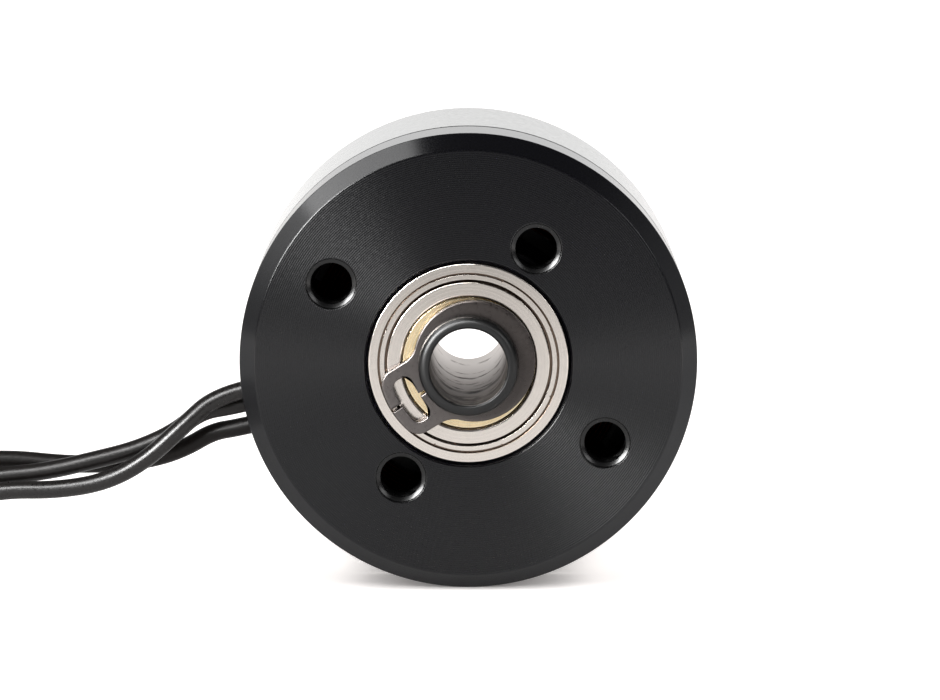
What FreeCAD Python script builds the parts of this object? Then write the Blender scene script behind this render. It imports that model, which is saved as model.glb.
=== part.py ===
import FreeCAD, Part
import math
import os

# Outrunner gimbal motor with a hollow shaft, in millimetres.
# The motor axis is Y. The mounting face lies in the plane y = 0 and looks along -Y.
# Angles are seen from the mounting face, anticlockwise from +X, with +Z up.

Vec = FreeCAD.Vector
centre = Vec(0, 0, 0)
motor_axis = Vec(0, 1, 0)
tiny = 1e-6

# Radial stack, from the stator outwards
stator_d = 22.0
air_gap = 0.25
magnet_t = 1.0
flux_ring_t = 0.7
bell_wall = 0.76
glue_line = 0.02
press_line = 0.01

# Axial stack, from the mounting face backwards
flange_t = 3.0
rim_len = 5.9
bell_gap = 0.4
core_lift = 1.5
stack_len = 8.0
insulator_t = 0.35
coil_end_t = 1.2
end_clear = 0.45
end_plate_t = 2.6

# Base
rim_wall = 1.5
rim_chamfer_w = 0.92
rim_chamfer_h = 1.0
edge_break = 0.15
flange_root_break = 0.5
tube_wall = 1.0
collar_h = 0.5
collar_len = 1.2
seat_relief = 0.25
bolt_long_pitch = 19.0
bolt_short_pitch = 16.0
bolt_long_angle = 149.7
bolt_short_angle = 59.6
tap_d = 2.5
tap_chamfer = 0.3

# Stator core and windings
slot_count = 12
yoke_share = 0.3
tooth_share = 0.0727
shoe_share = 0.176
slot_mouth = 0.95
slot_liner = 0.15
coil_gap = 0.24
coil_round = 0.9

# Rotor
magnet_count = 14
magnet_space = 0.75
magnet_overhang = 0.5
flux_ring_inset = 0.3
bell_edge_round = 0.3
rotor_bolt_pitch = 12.0
rotor_bolt_count = 4
rotor_bolt_angle = 0.0
rotor_tap_d = 1.6
rotor_tap_chamfer = 0.2

# Ball bearings, both the same size
bearing_bore = 8.0
bearing_od = 12.0
bearing_w = 3.5
bearing_recess = 0.1
race_wall_share = 0.37
race_gap = 0.4
ball_play = 0.03
ball_fill = 0.43
cage_clear = 0.1
cage_web = 0.35
pocket_clear = 0.05
shield_t = 0.2
shield_recess = 0.08
shield_seat = 0.23
shield_gap = 0.17
ring_chamfer = 0.12

# Shaft, spacer and retaining ring
shaft_bore = 4.6
nose_d = 6.0
nose_reach = 1.8
nose_round = 0.45
bore_break = 0.12
spacer_inset = 0.2
spacer_t = 0.8
spacer_clear = 0.04
groove_depth = 0.2
groove_play = 0.03
clip_t = 0.7
clip_stand = 0.05
clip_wide = 1.06
clip_slim = 0.22
clip_angle = 211.5
lug_reach = 2.36
lug_w = 4.26
lug_corner = 1.0
lug_root_round = 1.5
window_inset = 0.43
window_reach = 1.66
window_w = 2.84
window_round = 0.45
clip_split = 0.2

# Lead exit: a notch in the rim, filled with a block of potting resin
lead_d = 1.1
lead_angle = 193.6
lead_notch_w = 3.9
potting_inset = 0.2
potting_depth = 2.0
lead_offsets = (-1.15, -0.25, 1.2)
lead_depths = (3.85, 4.7, 5.3)
lead_straights = (2.0, 1.2, 1.2)
bend_share = 0.45

# Put away length of the three leads: a tied coil that lies on the floor left of the motor
coil_turns = 3
coil_mid_r = 6.0
coil_pitch = 1.1
level_pitch = 1.15
coil_x = -48.5
coil_y = 11.65
coil_lead_in = 4.5
tie_t = 0.25
tie_w = 2.2
tie_clear = 0.03

# Free route of each lead after its exit, chosen point by point
lead_routes = (
    (
        (-17.20, 3.35, -4.17),
        (-19.55, 3.20, -6.34),
        (-22.00, 3.20, -7.67),
        (-25.00, 3.25, -8.18),
        (-28.40, 3.30, -8.15),
        (-31.80, 3.30, -9.00),
        (-35.00, 3.50, -10.90),
        (-38.20, 3.80, -12.50),
        (-41.20, 4.00, -12.92),
    ),
    (
        (-16.30, 4.80, -3.55),
        (-17.90, 4.70, -4.85),
        (-20.20, 4.55, -5.88),
        (-22.80, 4.45, -6.52),
        (-25.80, 4.40, -7.22),
        (-29.00, 4.40, -7.50),
        (-32.20, 4.40, -8.15),
        (-35.60, 4.20, -9.75),
        (-38.80, 4.05, -11.30),
        (-41.60, 4.00, -11.77),
    ),
    (
        (-15.60, 5.45, -4.90),
        (-17.30, 5.70, -5.95),
        (-19.20, 5.80, -6.61),
        (-21.60, 5.90, -6.95),
        (-24.60, 5.90, -6.99),
        (-28.00, 5.75, -6.60),
        (-31.40, 5.45, -6.75),
        (-34.90, 4.95, -7.90),
        (-38.20, 4.40, -9.70),
        (-41.10, 4.00, -10.62),
    ),
)

# Radii that follow from the stack
stator_r = stator_d / 2
magnet_in_r = stator_r + air_gap
magnet_out_r = magnet_in_r + magnet_t
flux_in_r = magnet_out_r + glue_line
flux_out_r = flux_in_r + flux_ring_t
bell_in_r = flux_out_r + glue_line
motor_r = bell_in_r + bell_wall
rim_in_r = motor_r - rim_wall

# Places along the axis that follow from the stack
bell_front = rim_len + bell_gap
core_front = rim_len + core_lift
core_rear = core_front + stack_len
coil_front = core_front - insulator_t - coil_end_t
coil_rear = core_rear + insulator_t + coil_end_t
plate_front = coil_rear + end_clear
rear_face = plate_front + end_plate_t
tube_end = plate_front - end_clear
front_bearing_y = bearing_recess
rear_bearing_y = tube_end - bearing_recess - bearing_w
spacer_front = bearing_recess + spacer_inset
nose_root = spacer_front + spacer_t
clip_rear = -clip_stand
clip_front = clip_rear - clip_t

# Bearing section
pitch_r = (bearing_bore + bearing_od) / 4
race_section = (bearing_od - bearing_bore) / 2
race_wall = race_wall_share * race_section / 2
ball_r = race_section / 2 - race_wall - ball_play
ball_count = int(ball_fill * math.pi * pitch_r / ball_r)
groove_r = ball_r + ball_play
inner_ring_r = pitch_r - race_gap / 2
outer_ring_r = pitch_r + race_gap / 2
shield_seat_r = outer_ring_r + shield_seat
bearing_seat_r = bearing_od / 2 + press_line
tube_r = bearing_seat_r + tube_wall
shoulder_r = (outer_ring_r + bearing_od / 2) / 2

# Core section
core_bore_r = tube_r + press_line
core_depth = stator_r - core_bore_r
yoke_t = yoke_share * core_depth
shoe_t = shoe_share * core_depth
tooth_w = tooth_share * stator_d
yoke_r = core_bore_r + yoke_t
shoe_in_r = stator_r - shoe_t
slot_step = 360.0 / slot_count
half_slot = math.radians(slot_step / 2)
shoe_half = math.degrees(half_slot - slot_mouth / 2 / stator_r)
coil_near = yoke_r + slot_liner
coil_far = shoe_in_r * math.cos(math.radians(shoe_half)) - slot_liner

# Leads
lead_dir = Vec(math.cos(math.radians(lead_angle)), 0, math.sin(math.radians(lead_angle)))
lead_side = Vec(-lead_dir.z, 0, lead_dir.x)
floor_z = -motor_r
coil_outer_r = coil_mid_r + coil_turns * coil_pitch / 2 + lead_d / 2
coil_inner_r = coil_mid_r - coil_turns * coil_pitch / 2 - lead_d / 2
lead_in_y = coil_y - coil_outer_r + lead_d / 2
coil_low_z = floor_z + tie_t + tie_clear
coil_high_z = coil_low_z + (len(lead_routes) - 1) * level_pitch + lead_d


def polar(radius, angle, y=0.0):
    turn = math.radians(angle)
    return Vec(radius * math.cos(turn), y, radius * math.sin(turn))


def unit(vector):
    return vector * (1 / vector.Length)


def faced_out(shape):
    if shape.Volume < 0:
        shape.reverse()
    return shape


def turned_to(shape, angle):
    # A copy that is turned about the motor axis to the angle seen from the front
    copy = shape.copy()
    copy.rotate(centre, motor_axis, -angle)
    return copy


def rounded_wire(points, radii, closed):
    # Straight runs through the points, with a tangent arc of the given radius at each corner
    count = len(points)
    corners = []
    for i, corner in enumerate(points):
        if radii[i] == 0:
            corners.append((corner, None, corner))
            continue
        back = unit(points[i - 1] - corner)
        ahead = unit(points[(i + 1) % count] - corner)
        half = back.getAngle(ahead) / 2
        reach = radii[i] / math.tan(half)
        inset = radii[i] / math.sin(half) - radii[i]
        middle = corner + unit(back + ahead) * inset
        corners.append((corner + back * reach, middle, corner + ahead * reach))
    edges = []
    for i in range(count):
        start, middle, end = corners[i]
        if middle is not None:
            edges.append(Part.Arc(start, middle, end).toShape())
        if closed or i + 1 < count:
            following = corners[(i + 1) % count][0]
            edges.append(Part.makeLine(end, following))
    return Part.Wire(edges)


def turned(profile):
    # A lathe part from (radius, y) points, where a third number rounds that corner
    points = [Vec(p[0], p[1], 0) for p in profile]
    radii = [p[2] if len(p) > 2 else 0 for p in profile]
    face = Part.Face(rounded_wire(points, radii, True))
    return faced_out(face.revolve(centre, motor_axis, 360))


def disc(radius, front, rear):
    return Part.makeCylinder(radius, rear - front, Vec(0, front, 0), motor_axis)


def ring(inner, outer, front, rear):
    return disc(outer, front, rear).cut(disc(inner, front, rear))


def prism(edges, front, rear):
    face = Part.Face(Part.Wire(edges))
    return faced_out(face.extrude(Vec(0, rear - front, 0)))


def sector(inner, outer, half_angle, front, rear):
    # A piece of a ring, centred on angle 0
    corners = [polar(r, a, front) for r, a in
               ((inner, -half_angle), (outer, -half_angle), (outer, half_angle), (inner, half_angle))]
    edges = [
        Part.makeLine(corners[0], corners[1]),
        Part.Arc(corners[1], polar(outer, 0, front), corners[2]).toShape(),
        Part.makeLine(corners[2], corners[3]),
        Part.Arc(corners[3], polar(inner, 0, front), corners[0]).toShape(),
    ]
    return prism(edges, front, rear)


def block(start, end, width, front, rear):
    # A bar along +X from start to end, centred on the XY plane
    return Part.makeBox(end - start, rear - front, width, Vec(start, front, -width / 2))


def upright_edges(shape, least, most):
    # Edges parallel to the motor axis whose distance from it lies between two radii
    found = []
    for edge in shape.Edges:
        first, last = edge.Vertexes[0].Point, edge.Vertexes[-1].Point
        across = math.hypot(last.x - first.x, last.z - first.z)
        if across < tiny and least < math.hypot(first.x, first.z) < most:
            found.append(edge)
    return found


def hole_tool(diameter, chamfer, depth):
    # Tool body for a chamfered hole that enters at the origin along +Y
    tool_r = diameter / 2
    mouth = Part.makeCone(tool_r + 2 * chamfer, tool_r, 2 * chamfer, Vec(0, -chamfer, 0), motor_axis)
    return disc(tool_r, -chamfer, depth).fuse(mouth)


def base_housing():
    # Flange, rim and bearing tube, turned from one bar
    body = turned([
        (bearing_seat_r + seat_relief, 0),
        (motor_r - rim_chamfer_w, 0),
        (motor_r, rim_chamfer_h),
        (motor_r, rim_len - edge_break),
        (motor_r - edge_break, rim_len),
        (rim_in_r, rim_len),
        (rim_in_r, flange_t + flange_root_break),
        (rim_in_r - flange_root_break, flange_t),
        (tube_r + flange_root_break, flange_t),
        (tube_r, flange_t + flange_root_break),
        (tube_r, core_front - collar_len - collar_h),
        (tube_r + collar_h, core_front - collar_len),
        (tube_r + collar_h, core_front),
        (tube_r, core_front),
        (tube_r, tube_end),
        (bearing_seat_r, tube_end),
        (bearing_seat_r, rear_bearing_y),
        (shoulder_r, rear_bearing_y),
        (shoulder_r, front_bearing_y + bearing_w),
        (bearing_seat_r, front_bearing_y + bearing_w),
        (bearing_seat_r, seat_relief),
    ])
    tool = hole_tool(tap_d, tap_chamfer, flange_t + flange_root_break)
    for pitch, angle in ((bolt_long_pitch, bolt_long_angle), (bolt_short_pitch, bolt_short_angle)):
        for side in (0, 180):
            body = body.cut(tool.translated(polar(pitch / 2, angle + side)))
    notch = block(rim_in_r - rim_wall, motor_r + rim_wall, lead_notch_w, flange_t, rim_len + edge_break)
    return body.cut(turned_to(notch, lead_angle))


def stator_core():
    # Laminated stack: yoke, teeth and pole shoes
    core = ring(core_bore_r, yoke_r, core_front, core_rear)
    tooth = block(yoke_r - yoke_t / 2, stator_r - shoe_t / 2, tooth_w, core_front, core_rear)
    tooth = tooth.fuse(sector(shoe_in_r, stator_r, shoe_half, core_front, core_rear))
    teeth = [turned_to(tooth, i * slot_step) for i in range(slot_count)]
    return core.fuse(teeth).removeSplitter()


def end_insulator(front):
    # Moulded plate over one end of the core, with an arm on each tooth
    rear = front + insulator_t
    plate = ring(tube_r + collar_h + press_line, yoke_r, front, rear)
    arm = block(yoke_r - yoke_t / 2, shoe_in_r, tooth_w + 2 * slot_liner, front, rear)
    arms = [turned_to(arm, i * slot_step) for i in range(slot_count)]
    return plate.fuse(arms).removeSplitter()


def coil_half_width(reach):
    # Half the width of a coil at a radius: half the slot pitch, less half the gap between coils
    return reach * math.tan(half_slot) - coil_gap / 2


def tooth_coil():
    # Coil on the tooth at angle 0: it widens outwards with the slot
    loops = []
    for reach in (coil_near, coil_far):
        half_width = coil_half_width(reach)
        corners = [
            Vec(reach, coil_front, -half_width),
            Vec(reach, coil_rear, -half_width),
            Vec(reach, coil_rear, half_width),
            Vec(reach, coil_front, half_width),
        ]
        loops.append(rounded_wire(corners, [coil_round] * 4, True))
    body = faced_out(Part.makeLoft(loops, True, True))
    core_window = block(
        coil_near - slot_liner,
        coil_far + slot_liner,
        tooth_w + 2 * slot_liner,
        core_front - insulator_t,
        core_rear + insulator_t,
    )
    return body.cut(core_window)


def phase_windings(phase):
    # Two neighbouring teeth and the two opposite them
    coil = tooth_coil()
    pair = (2 * phase, 2 * phase + 1)
    teeth = [tooth + half for half in (0, slot_count // 2) for tooth in pair]
    return Part.makeCompound([turned_to(coil, tooth * slot_step) for tooth in teeth])


def lead_potting():
    # Resin block in the rim notch that holds the leads and their solder joints
    side_room = 2 * glue_line
    body = block(
        rim_in_r - potting_depth,
        motor_r - potting_inset,
        lead_notch_w - side_room,
        flange_t,
        rim_len - edge_break,
    )
    return turned_to(body, lead_angle)


def outer_ring(front):
    rear = front + bearing_w
    seat_depth = shield_recess + shield_t
    body = turned([
        (shield_seat_r, front),
        (bearing_od / 2 - ring_chamfer, front),
        (bearing_od / 2, front + ring_chamfer),
        (bearing_od / 2, rear - ring_chamfer),
        (bearing_od / 2 - ring_chamfer, rear),
        (shield_seat_r, rear),
        (shield_seat_r, rear - seat_depth),
        (outer_ring_r, rear - seat_depth),
        (outer_ring_r, front + seat_depth),
        (shield_seat_r, front + seat_depth),
    ])
    return body.cut(ball_track(front))


def inner_ring(front):
    rear = front + bearing_w
    bore_r = bearing_bore / 2
    body = turned([
        (bore_r + ring_chamfer, front),
        (inner_ring_r - ring_chamfer, front),
        (inner_ring_r, front + ring_chamfer),
        (inner_ring_r, rear - ring_chamfer),
        (inner_ring_r - ring_chamfer, rear),
        (bore_r + ring_chamfer, rear),
        (bore_r, rear - ring_chamfer),
        (bore_r, front + ring_chamfer),
    ])
    return body.cut(ball_track(front))


def ball_track(front):
    return Part.makeTorus(pitch_r, groove_r, Vec(0, front + bearing_w / 2, 0), motor_axis)


def ball_places(front):
    step = 360.0 / ball_count
    return [polar(pitch_r, i * step, front + bearing_w / 2) for i in range(ball_count)]


def bearing_balls(front):
    return Part.makeCompound([Part.makeSphere(ball_r, place) for place in ball_places(front)])


def bearing_cage(front):
    # Ribbon between the rings with a round pocket for each ball
    half_length = ball_r + cage_web
    middle = front + bearing_w / 2
    body = ring(
        inner_ring_r + cage_clear,
        outer_ring_r - cage_clear,
        middle - half_length,
        middle + half_length,
    )
    pockets = []
    for place in ball_places(front):
        outwards = Vec(place.x, 0, place.z)
        start = place - unit(outwards) * race_gap
        pockets.append(Part.makeCylinder(ball_r + pocket_clear, 2 * race_gap, start, outwards))
    return body.cut(pockets)


def bearing_shields(front):
    # A thin washer in the seat at each face of the outer ring
    first = front + shield_recess
    last = front + bearing_w - shield_recess - shield_t
    inner = inner_ring_r + shield_gap
    outer = shield_seat_r - press_line
    return Part.makeCompound([ring(inner, outer, y, y + shield_t) for y in (first, last)])


def hollow_shaft():
    shaft_r = bearing_bore / 2 - press_line
    nose_r = nose_d / 2
    bore_r = shaft_bore / 2
    groove_front = clip_front - groove_play
    groove_rear = clip_rear + groove_play
    return turned([
        (bore_r + bore_break, -nose_reach),
        (nose_r, -nose_reach, nose_round),
        (nose_r, groove_front),
        (nose_r - groove_depth, groove_front),
        (nose_r - groove_depth, groove_rear),
        (nose_r, groove_rear),
        (nose_r, nose_root),
        (shaft_r, nose_root),
        (shaft_r, rear_face),
        (bore_r + bore_break, rear_face),
        (bore_r, rear_face - bore_break),
        (bore_r, bore_break - nose_reach),
    ])


def brass_spacer():
    inner = nose_d / 2 + spacer_clear
    outer = bearing_bore / 2 - spacer_clear
    return ring(inner, outer, spacer_front, nose_root)


def circlip():
    # Eccentric ring that is open at the lugs, whose hooked ends close round a window
    nose_r = nose_d / 2
    clip_r = nose_r + (clip_wide + clip_slim) / 2
    offset = (clip_wide - clip_slim) / 2
    tip_r = nose_r + lug_reach
    band = disc(clip_r, clip_front, clip_rear)
    band.translate(Vec(-offset, 0, 0))
    lugs = round_ended(0, tip_r, lug_w)
    lugs = lugs.makeFillet(lug_corner, upright_edges(lugs, nose_r, tip_r + tiny))
    body = band.fuse(lugs).removeSplitter()
    # The band's own seam lies behind the axis, so only the two roots are ahead of it
    inner_edges = upright_edges(body, nose_r, nose_r + lug_reach / 2)
    roots = [edge for edge in inner_edges if edge.Vertexes[0].Point.x > 0]
    body = body.makeFillet(lug_root_round, roots)
    body = body.cut(disc(nose_r - groove_depth + press_line, clip_front, clip_rear))
    window = round_ended(nose_r + window_inset, nose_r + window_reach, window_w)
    body = body.cut(window.makeFillet(window_round, upright_edges(window, nose_r, tip_r)))
    split = block(nose_r / 2, tip_r + lug_reach, clip_split, clip_front, clip_rear)
    return turned_to(body.cut(split).removeSplitter(), clip_angle)


def round_ended(start, end_r, width):
    # A bar along +X as thick as the circlip, whose outer end is round about the motor axis
    half = width / 2
    end = math.sqrt(end_r ** 2 - half ** 2)
    corners = [Vec(x, clip_front, z) for x, z in ((start, -half), (end, -half), (end, half), (start, half))]
    edges = [
        Part.makeLine(corners[0], corners[1]),
        Part.Arc(corners[1], Vec(end_r, clip_front, 0), corners[2]).toShape(),
        Part.makeLine(corners[2], corners[3]),
        Part.makeLine(corners[3], corners[0]),
    ]
    return prism(edges, clip_front, clip_rear)


def rotor_bell():
    # Cup with a boss that bears on the inner ring of the rear bearing
    boss_r = inner_ring_r - ring_chamfer
    bell = turned([
        (bearing_bore / 2, rear_bearing_y + bearing_w),
        (boss_r, rear_bearing_y + bearing_w),
        (boss_r, plate_front),
        (bell_in_r, plate_front),
        (bell_in_r, bell_front),
        (motor_r - edge_break, bell_front),
        (motor_r, bell_front + edge_break),
        (motor_r, rear_face, bell_edge_round),
        (bearing_bore / 2, rear_face),
    ])
    tool = hole_tool(rotor_tap_d, rotor_tap_chamfer, end_plate_t + rotor_tap_chamfer)
    tool.rotate(centre, Vec(1, 0, 0), 180)
    step = 360.0 / rotor_bolt_count
    for i in range(rotor_bolt_count):
        angle = rotor_bolt_angle + i * step
        bell = bell.cut(tool.translated(polar(rotor_bolt_pitch / 2, angle, rear_face)))
    return bell


def flux_ring():
    return ring(flux_in_r, flux_out_r, bell_front + flux_ring_inset, core_rear + magnet_overhang)


def magnets(first):
    # Every other magnet of the ring, so that one node holds one polarity
    step = 360.0 / magnet_count
    half = step / 2 - math.degrees(magnet_space / 2 / magnet_in_r)
    magnet = sector(magnet_in_r, magnet_out_r, half, core_front - magnet_overhang, core_rear + magnet_overhang)
    return Part.makeCompound([turned_to(magnet, i * step) for i in range(first, magnet_count, 2)])


def lead_points(lead):
    # Exit on the outer face of the potting, the free route, and the start of the coil
    face = lead_dir * (motor_r - potting_inset)
    start = face + lead_side * lead_offsets[lead] + motor_axis * lead_depths[lead]
    level_z = coil_low_z + lead_d / 2 + lead * level_pitch
    end = Vec(coil_x + coil_lead_in, lead_in_y, level_z)
    out = start + lead_dir * lead_straights[lead]
    return [start, out] + [Vec(*point) for point in lead_routes[lead]] + [end]


def bend_radii(points):
    # At each inner point, the arc that takes up its share of the shorter run
    radii = [0]
    for before, corner, after in zip(points, points[1:], points[2:]):
        turn = (corner - before).getAngle(after - corner)
        shorter = min((corner - before).Length, (after - corner).Length)
        radii.append(bend_share * shorter / math.tan(turn / 2))
    return radii + [0]


def phase_lead(lead):
    points = lead_points(lead)
    radii = bend_radii(points)
    path = rounded_wire(points, radii, False)
    section = Part.makeCircle(lead_d / 2, points[0], points[1] - points[0])
    tube = faced_out(path.makePipeShell([Part.Wire(section)], True, False))
    expected = math.pi * lead_d ** 2 / 4 * path.Length
    tightest = min(r for r in radii if r > 0)
    print("lead", lead + 1, "length", round(path.Length, 2), "tightest bend", round(tightest, 2),
          "volume share", round(tube.Volume / expected, 4))
    return tube


def lead_coil():
    # Outer shape of the wound leads, with the straight stretch where they come in
    bevel = lead_d / 4
    section = [
        (coil_inner_r, coil_low_z + bevel),
        (coil_inner_r + bevel, coil_low_z),
        (coil_outer_r - bevel, coil_low_z),
        (coil_outer_r, coil_low_z + bevel),
        (coil_outer_r, coil_high_z - bevel),
        (coil_outer_r - bevel, coil_high_z),
        (coil_inner_r + bevel, coil_high_z),
        (coil_inner_r, coil_high_z - bevel),
    ]
    corners = [Vec(r, 0, z) for r, z in section]
    face = Part.Face(Part.makePolygon(corners + corners[:1]))
    body = faced_out(face.revolve(centre, Vec(0, 0, 1), 360))
    body.translate(Vec(coil_x, coil_y, 0))
    lead_in = Part.makeBox(
        coil_lead_in,
        lead_d,
        coil_high_z - coil_low_z,
        Vec(coil_x, lead_in_y - lead_d / 2, coil_low_z),
    )
    return body.fuse(lead_in).removeSplitter()


def coil_tie():
    # Flat band round the bundle, on the far side of the coil from the motor
    width = coil_outer_r - coil_inner_r
    low = coil_low_z - tie_clear
    high = coil_high_z + tie_clear
    sag = coil_inner_r - math.sqrt(coil_inner_r ** 2 - tie_w ** 2 / 4)
    left = coil_x - coil_outer_r - tie_clear
    inside = Part.makeBox(width + 2 * tie_clear + sag, tie_w, high - low, Vec(left, coil_y - tie_w / 2, low))
    outside = Part.makeBox(
        width + 2 * tie_clear + sag + 2 * tie_t,
        tie_w,
        high - low + 2 * tie_t,
        Vec(left - tie_t, coil_y - tie_w / 2, low - tie_t),
    )
    return outside.cut(inside)


def save(node, shape):
    if not shape.isValid() or shape.Volume <= 0:
        raise ValueError("bad solid in " + node)
    shape.exportStep("parts/" + node + ".step")


def main():
    os.makedirs("parts", exist_ok=True)
    save("base_housing", base_housing())
    save("stator_core", stator_core())
    save("front_insulator", end_insulator(core_front - insulator_t))
    save("rear_insulator", end_insulator(core_rear))
    save("lead_potting", lead_potting())
    for phase, letter in enumerate("abc"):
        save("phase_" + letter + "_windings", phase_windings(phase))
        save("phase_" + letter + "_lead", phase_lead(phase))
    save("lead_coil", lead_coil())
    save("coil_tie", coil_tie())
    for name, front in (("front", front_bearing_y), ("rear", rear_bearing_y)):
        save(name + "_bearing_outer_ring", outer_ring(front))
        save(name + "_bearing_shields", bearing_shields(front))
        save(name + "_bearing_inner_ring", inner_ring(front))
        save(name + "_bearing_balls", bearing_balls(front))
        save(name + "_bearing_cage", bearing_cage(front))
    save("hollow_shaft", hollow_shaft())
    save("brass_spacer", brass_spacer())
    save("circlip", circlip())
    save("rotor_bell", rotor_bell())
    save("flux_ring", flux_ring())
    save("north_magnets", magnets(0))
    save("south_magnets", magnets(1))


main()
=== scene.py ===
import bmesh
import bpy
import math
import numpy as np
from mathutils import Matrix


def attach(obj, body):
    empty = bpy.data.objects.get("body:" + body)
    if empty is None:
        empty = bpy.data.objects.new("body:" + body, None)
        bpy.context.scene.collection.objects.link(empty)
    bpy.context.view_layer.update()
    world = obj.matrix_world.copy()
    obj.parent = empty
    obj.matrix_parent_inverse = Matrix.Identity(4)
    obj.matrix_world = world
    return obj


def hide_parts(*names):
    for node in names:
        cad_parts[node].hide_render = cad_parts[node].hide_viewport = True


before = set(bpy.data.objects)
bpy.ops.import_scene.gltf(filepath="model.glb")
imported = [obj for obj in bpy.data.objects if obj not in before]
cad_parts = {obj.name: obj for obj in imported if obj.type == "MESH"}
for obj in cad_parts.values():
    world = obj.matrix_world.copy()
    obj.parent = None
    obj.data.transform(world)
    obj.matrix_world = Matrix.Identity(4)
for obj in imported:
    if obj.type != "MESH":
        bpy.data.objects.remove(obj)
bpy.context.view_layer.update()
mm = 0.001
scene = bpy.context.scene
scene.view_settings.view_transform = "Standard"

# Camera: long lens, in front of the mounting face and a little above it
camera = {
    "place": (0.000096, -0.30436, 0.0400),
    "tilt": 82.664,
    "lens": 196.44,
    "sensor": 36.0,
    "clip": (0.01, 20.0),
}


def addCamera(spec):
    data = bpy.data.cameras.new("camera")
    data.lens = spec["lens"]
    data.sensor_width = spec["sensor"]
    data.clip_start, data.clip_end = spec["clip"]
    eye = bpy.data.objects.new("camera", data)
    eye.location = spec["place"]
    eye.rotation_euler = (math.radians(spec["tilt"]), 0, 0)
    scene.collection.objects.link(eye)
    scene.camera = eye


addCamera(camera)
print("camera set")


def linear(code):
    # sRGB hex to linear RGB and alpha
    parts = np.array([int(code[i:i + 2], 16) for i in (1, 3, 5)]) / 255
    low = parts / 12.92
    high = ((parts + 0.055) / 1.055) ** 2.4
    return [*np.where(parts <= 0.04045, low, high).tolist(), 1.0]


def node(tree, kind, settings, *inOrder, **byName):
    # Adds a node: numbers, sockets or other nodes go to its live inputs, in their order or by name
    made = tree.nodes.new("ShaderNode" + kind)
    for name, value in settings.items():
        setattr(made, name, value)
    live = [socket for socket in made.inputs if socket.enabled]
    named = {socket.name.replace(" ", "_"): socket for socket in live}
    pairs = [*zip(live, inOrder), *((named[name], value) for name, value in byName.items())]
    for socket, value in pairs:
        if isinstance(value, bpy.types.Node):
            value = next(output for output in value.outputs if output.enabled)
        if isinstance(value, bpy.types.NodeSocket):
            tree.links.new(value, socket)
        else:
            socket.default_value = value
    return made


# Settings that many nodes share, and values that many finishes share
times = {"operation": "MULTIPLY"}
timesPlus = {"operation": "MULTIPLY_ADD"}
colours = {"data_type": "RGBA"}
acrossRings = 0.25  # a quarter turn, which lays the sheen across the turning rings
noiseRange = (0.3, 0.7)  # nearly all values of a noise lie between these


def newMaterial(name):
    # Empty material, its tree, and the place on the piece that its patterns read
    made = bpy.data.materials.new(name)
    made.use_nodes = True
    tree = made.node_tree
    tree.nodes.clear()
    return made, tree, node(tree, "TexCoord", {}).outputs["Object"]


def closeMaterial(tree, spec, height, **sockets):
    # Shader with the given sockets, over a surface that is raised by the height pattern
    bump = node(tree, "Bump", {}, Strength=spec["strength"], Distance=spec["height"] * mm, Height=height)
    shader = node(tree, "BsdfPrincipled", {}, Normal=bump, **sockets)
    node(tree, "OutputMaterial", {}, Surface=shader)


def axisRadius(tree, place):
    # Distance from the motor axis in millimetres: length of (x, 0, z)
    flat = node(tree, "VectorMath", times, place, (1 / mm, 0, 1 / mm))
    return node(tree, "VectorMath", {"operation": "LENGTH"}, flat)


def axisDepth(tree, place):
    # Distance along the motor axis in millimetres: y
    parts = node(tree, "SeparateXYZ", {}, place)
    return node(tree, "Math", times, parts.outputs["Y"], 1 / mm)


def toolMarks(tree, along, spec):
    # Rings left by a turning tool: round troughs side by side, one per feed, drifting with a slow noise
    line = node(tree, "CombineXYZ", {}, along)
    drift = node(tree, "TexNoise", {}, Vector=line, Scale=spec["drift"] / spec["feed"])
    turns = node(tree, "Math", timesPlus, along, 1 / spec["feed"], drift)
    part = node(tree, "Math", {"operation": "FRACT"}, turns)
    side = node(tree, "Math", timesPlus, part, 2.0, -1.0)
    return node(tree, "Math", times, side, side)


def between(tree, value, low, high, soft=0.02):
    # One from low to high, falling to zero over a soft edge outside them
    rise = node(tree, "MapRange", {}, value, low - soft, low)
    fall = node(tree, "MapRange", {}, value, high, high + soft, 1.0, 0.0)
    return node(tree, "Math", {"operation": "MINIMUM"}, rise, fall)


def grainAndGloss(tree, place, spec, detail):
    # Noise in patches about a grain wide, and a roughness that swings with it by spread to either side
    grain = node(tree, "TexNoise", {}, Vector=place, Scale=1 / (spec["grain"] * mm), Detail=detail)
    smooth, rough = spec["roughness"] - spec["spread"], spec["roughness"] + spec["spread"]
    return grain, node(tree, "MapRange", {}, grain, *noiseRange, smooth, rough)


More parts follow.
